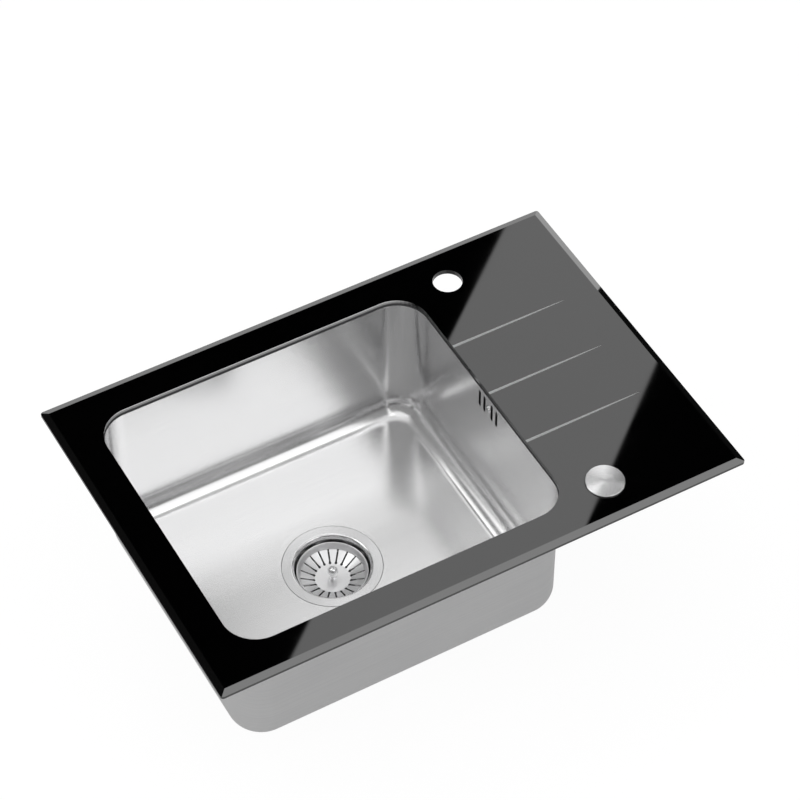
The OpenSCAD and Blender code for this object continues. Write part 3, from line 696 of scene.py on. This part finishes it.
def make_bowl(material):
    """The bowl with its overflow slots and screw hole."""
    shell = bowl_shell()
    wall = DRAIN_X + INNER_W / 2
    outlines = {f"slot_{i}": overflow_outline(y) for i, y in enumerate(OVERFLOW_YS)}
    outlines["screw_hole"] = arc(0, OVERFLOW_Z, SCREW_HOLE_R, 0, 345, 23)
    cut(shell, [cutter(name, [outline], "X", wall - CUT_IN, wall + CUT_OUT)
                for name, outline in outlines.items()])
    shell.data.materials.append(material)
    sharpen(shell, BOWL_CREASE)
    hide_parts("bowl")


def make_bead(material):
    """The sealant's thin dark line between the glass edge and the bowl's lip. It also stands in for the
    shade in the gap under the glass edge, and hides the lip's highlight.
    """
    bm = bmesh.new()
    loops = [bowl_loop(bm, x, z) for x, z in SEALANT_AND_SHADE]
    for low, high in zip(loops, loops[1:] + loops[:1]):
        for i in range(len(low)):
            j = (i + 1) % len(low)
            bm.faces.new((low[i], low[j], high[j], high[i]))
    bmesh.ops.recalc_face_normals(bm, faces=bm.faces)
    bead = add_object("sealant_and_shade_bead", bm, "sink")
    bead.data.materials.append(material)


# The strainer basket, its stem and the button's cap

def keyhole(turn):
    """Outline of one drain slot with the round hole at its inner end, turned by an angle in degrees."""
    neck = math.degrees(math.asin(SLOT_HALF / SLOT_HOLE_R))
    flat = arc(SLOT_INNER_R, 0.0, SLOT_HOLE_R, neck, 360 - neck, 14)
    flat += arc(SLOT_OUTER_R, 0.0, SLOT_HALF, -90, 90, 6)
    c, s = math.cos(math.radians(turn)), math.sin(math.radians(turn))
    return [(DRAIN_X + x * c - y * s, x * s + y * c) for x, y in flat]


def make_basket(material):
    """Rolled rim, steep side, slotted cone and flat disc, as one pressed sheet."""
    section = [(r, DISC_Z + up) for r, up in BASKET_UPPER]
    section += arc(RIM_R - BEAD_R, RIM_Z - BEAD_R, BEAD_R, 200, -90, 18)
    section += [(r, DISC_Z + up) for r, up in BASKET_LOWER]
    basket = lathe("strainer_basket", section, (DRAIN_X, 0.0), "basket", BASKET_STEPS, closed=True)
    slots = [keyhole(SLOT_TURN + 360 / SLOT_COUNT * i) for i in range(SLOT_COUNT)]
    cut(basket, [cutter("slots", slots, "Z", DISC_Z - SLOT_DOWN, DISC_Z + SLOT_UP)])
    basket.data.materials.append(material)
    sharpen(basket, PIECE_CREASE)
    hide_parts("basket")


def make_stem(material):
    """Stem with its collar on the disc and its ball."""
    neck = math.degrees(math.acos(STEM_R / BALL_R))
    seat, top = DISC_Z + COLLAR_GAP, DISC_Z + COLLAR_H
    section = [(0.0, STEM_END), (STEM_R - STEM_CHAMFER, STEM_END), (STEM_R, STEM_END + STEM_CHAMFER)]
    section += [(STEM_R, seat), (COLLAR_R, seat), (COLLAR_R, top - STEM_CHAMFER),
                (COLLAR_R - STEM_CHAMFER, top), (STEM_R, top)]
    section += arc(0.0, BALL_Z, BALL_R, -neck, 90, 20)[:-1] + [(0.0, BALL_Z + BALL_R)]
    stem = lathe("stem_and_ball", section, (DRAIN_X, 0.0), "basket", STEM_STEPS)
    stem.data.materials.append(material)
    sharpen(stem, PIECE_CREASE)
    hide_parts("basket_stem")


def make_cap(material):
    """Slightly domed cap with a rounded edge and a hollow underside."""
    edge = CAP_R - CAP_ROUND
    shares = [i / DOME_STEPS for i in range(DOME_STEPS)]
    section = [(edge * share, CAP_TOP - CAP_DOME * share ** 2) for share in shares]
    section += arc(edge, CAP_TOP - CAP_DOME - CAP_ROUND, CAP_ROUND, 90, 0, 6)
    section += [(CAP_R, CAP_BOTTOM), (CAP_R - CAP_WALL, CAP_BOTTOM)]
    section += [(r, CAP_UNDER - depth) for r, depth in CAP_HOLLOW]
    cap = lathe("round_cap", section, BUTTON, "button", CAP_STEPS)
    cap.data.materials.append(material)
    sharpen(cap, PIECE_CREASE)
    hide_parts("button_cap")


# The stage: world, floor, cards and camera

def card_material(name, radiance, edge):
    """Light of a card, which fades towards its long edges where edge says so."""
    nodes = Nodes(name)
    strength = radiance
    if edge:
        across = nodes.split(nodes.add("TexCoord").outputs["Generated"])[1]
        offset = nodes.math("ABSOLUTE", nodes.math("SUBTRACT", across, 0.5))
        strength = nodes.ramp(offset, 0.5, 0.5 - edge, high=radiance, interpolation_type="SMOOTHSTEP")
    return nodes.show(nodes.add("Emission", {"Strength": strength}))


def stage_card(name, bm, radiance, edge=0.0):
    """A card that lights or darkens the reflections and that the camera doesn't see."""
    mesh = bpy.data.meshes.new(name)
    bm.to_mesh(mesh)
    bm.free()
    obj = bpy.data.objects.new(name, mesh)
    bpy.context.scene.collection.objects.link(obj)
    mesh.materials.append(card_material(name, radiance, edge))
    obj.visible_camera = False
    return obj


def flat_card(name, centre, facing, width, height, radiance, turn=0.0, edge=0.0):
    """A flat card. Its width lies level, and turn rotates it about its own normal."""
    bm = bmesh.new()
    corners = [(-width / 2, -height / 2, 0), (width / 2, -height / 2, 0), (width / 2, height / 2, 0),
               (-width / 2, height / 2, 0)]
    bm.faces.new([bm.verts.new(corner) for corner in corners])
    obj = stage_card(name, bm, radiance, edge)
    tilt = Vector(facing).normalized().to_track_quat("Z", "Y").to_matrix().to_4x4()
    obj.matrix_world = Matrix.Translation(centre) @ tilt @ Matrix.Rotation(math.radians(turn), 4, "Z")


def even_angles(ends):
    """Angles in radians from one end in degrees to the other, about CARD_STEP degrees apart."""
    start, end = ends
    steps = max(2, round((end - start) / CARD_STEP))
    return [math.radians(start + (end - start) * i / steps) for i in range(steps + 1)]


def view_direction(azimuth, elevation):
    """The direction from the sink to a viewer. Azimuth 0 is the front and a quarter turn the right."""
    level = math.cos(elevation)
    return math.sin(azimuth) * level, -math.cos(azimuth) * level, math.sin(elevation)


def curved_card(name, azimuths, elevations, radiance):
    """A card bent round the sink, between two azimuths and two elevations in degrees."""
    bm = bmesh.new()
    grid = [[bm.verts.new([CARD_DISTANCE * part for part in view_direction(azimuth, elevation)])
             for azimuth in even_angles(azimuths)] for elevation in even_angles(elevations)]
    for low, high in zip(grid, grid[1:]):
        for i in range(len(low) - 1):
            bm.faces.new((low[i], low[i + 1], high[i + 1], high[i]))
    stage_card(name, bm, radiance)


def make_world():
    """A white room."""
    world = bpy.data.worlds.new("studio")
    bpy.context.scene.world = world
    world.use_nodes = True
    background = world.node_tree.nodes["Background"]
    background.inputs["Color"].default_value = (1.0, 1.0, 1.0, 1.0)
    background.inputs["Strength"].default_value = 1.0


def floor_material():
    """Part light and part matt by the kind of ray, and clear from below."""
    nodes = Nodes("floor")
    path = nodes.add("LightPath").outputs
    share = 0.0
    for ray, weight in FLOOR_SHARES:
        share = nodes.math("MULTIPLY_ADD", path[ray], weight, share)
    matt = nodes.add("BsdfDiffuse", {"Color": (FLOOR_TONE, FLOOR_TONE, FLOOR_TONE, 1.0)}).outputs[0]
    white = nodes.add("Emission", {"Strength": FLOOR_LIGHT}).outputs[0]
    above = nodes.add("MixShader", {0: share, 1: matt, 2: white}).outputs[0]
    clear = nodes.add("BsdfTransparent").outputs[0]
    from_below = nodes.add("NewGeometry").outputs["Backfacing"]
    return nodes.show(nodes.add("MixShader", {0: from_below, 1: above, 2: clear}))


def make_floor():
    """Pale floor: mostly white to the camera, less so in metal and glass, with some of its own shading left
    in both, so that it keeps the object's shadow. From below it is clear and shows the sink's underside."""
    bm = bmesh.new()
    bmesh.ops.create_grid(bm, x_segments=1, y_segments=1, size=FLOOR_SIZE)
    mesh = bpy.data.meshes.new("floor")
    bm.to_mesh(mesh)
    bm.free()
    floor = bpy.data.objects.new("floor", mesh)
    floor.location = (0.0, 0.0, cad_box[0][2] - FLOOR_GAP)
    bpy.context.scene.collection.objects.link(floor)
    mesh.materials.append(floor_material())


def make_camera():
    """The photograph's view: a long lens from the front left."""
    azimuth = math.radians(CAMERA_AZIMUTH)
    back = Vector(view_direction(azimuth, math.radians(CAMERA_ELEVATION)))
    right = Vector((math.cos(azimuth), math.sin(azimuth), 0.0))
    up = back.cross(right)
    data = bpy.data.cameras.new("camera")
    data.lens = CAMERA_LENS
    data.sensor_width = CAMERA_SENSOR
    data.clip_end = CAMERA_CLIP
    camera = bpy.data.objects.new("camera", data)
    place = Matrix.Translation(Vector(CAMERA_TARGET) + back * CAMERA_DISTANCE)
    camera.matrix_world = place @ Matrix((right, up, back)).transposed().to_4x4()
    bpy.context.scene.collection.objects.link(camera)
    bpy.context.scene.camera = camera


def make_strip():
    """The card of the pale band that crosses the plate, with edges that fade a little."""
    along, aside = Vector(STRIP_ALONG), Vector(STRIP_ASIDE)
    middle = along * STRIP_CENTRE[0] + aside * STRIP_CENTRE[1]
    flat_card("glass_strip", (middle.x, middle.y, STRIP_Z), DOWN, width=1.9, height=0.424, radiance=1.6,
              turn=-math.degrees(math.atan2(along.y, along.x)), edge=0.02)


def make_light():
    """A white room with flags and softboxes round the sink, as steel and black glass are photographed."""
    make_world()
    make_floor()
    for name, azimuths, elevations, radiance in CURVED_CARDS:
        curved_card(name, azimuths, elevations, radiance)
    flat_card("glass_flag", (0.90, 1.58, 2.15), DOWN, width=1.8, height=1.35, radiance=0.0)
    make_strip()
    flat_card("bowl_fill", (0.663, 1.438, 1.95), DOWN, width=0.66, height=0.58, radiance=0.72)
    flat_card("front_bevel", (0.70, -0.364, 2.0), DOWN, width=1.2, height=0.12, radiance=2.9)
    flat_card("right_bevel", (2.522, 1.892, 1.01), (-0.745, -0.576, -0.337), width=0.28, height=0.16,
              radiance=2.85)
    flat_card("back_bevel", (0.92, 3.05, 0.664), (0, -1, 0), width=1.5, height=0.14, radiance=1.75)


# Dressing of the CAD nodes

def dress(nodes, material):
    """Gives some of the CAD's nodes one material."""
    for name in nodes:
        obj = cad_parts[name]
        obj.data.materials.clear()
        obj.data.materials.append(material)


def main():
    """Camera and light, then the materials, the dressed CAD nodes and the scene's own pieces."""
    bpy.context.scene.view_settings.view_transform = "Standard"
    make_camera()
    make_light()

    glass = black_glass()
    bowl_steel = brushed_bowl()
    drain = (DRAIN_X, 0.0)
    cup_steel = turned_steel("cup_steel", drain, (0.88, 0.88, 0.885), rough=0.17, anisotropy=0.6,
                             shade_below=CUP_SHADE_Z)
    basket_steel = turned_steel("basket_steel", drain, (0.96, 0.96, 0.965), rough=0.34, anisotropy=0.3)
    button_steel = turned_steel("button_steel", BUTTON, (0.82, 0.82, 0.825), rough=0.24, anisotropy=0.8)
    bright = bright_steel("bright_steel", level=0.90, rough=0.12)
    satin = bright_steel("satin_steel", level=0.97, rough=0.22)
    rubber = moulded("seal_rubber", (0.035, 0.035, 0.038), (0.06, 0.06, 0.063), rough=0.62, grain=0.35)
    black = moulded("black_plastic", (0.055, 0.055, 0.058), (0.085, 0.085, 0.088), rough=0.42, grain=0.5)
    white = moulded("white_plastic", (0.76, 0.76, 0.74), (0.84, 0.84, 0.82), rough=0.40, grain=0.6)

    dress(["glass_top"], glass)
    dress(["strainer_cup"], cup_steel)
    dress(["overflow_screw", "clamp_screw", "lift_pin", "lift_rocker", "basket_nut"], bright)
    dress(["rim_seal", "bowl_bond", "sound_pads", "overflow_gasket", "cup_gasket", "body_gasket",
           "basket_plug", "button_washer"], rubber)
    dress(["overflow_housing", "rocker_gland", "button_stem", "button_sleeve", "button_nut"], black)
    dress(["waste_body", "button_cartridge"], white)
    dress(["cable_anchor"], brass())

    make_bowl(bowl_steel)
    make_bead(rubber)
    make_basket(basket_steel)
    make_stem(satin)
    make_cap(button_steel)


main()
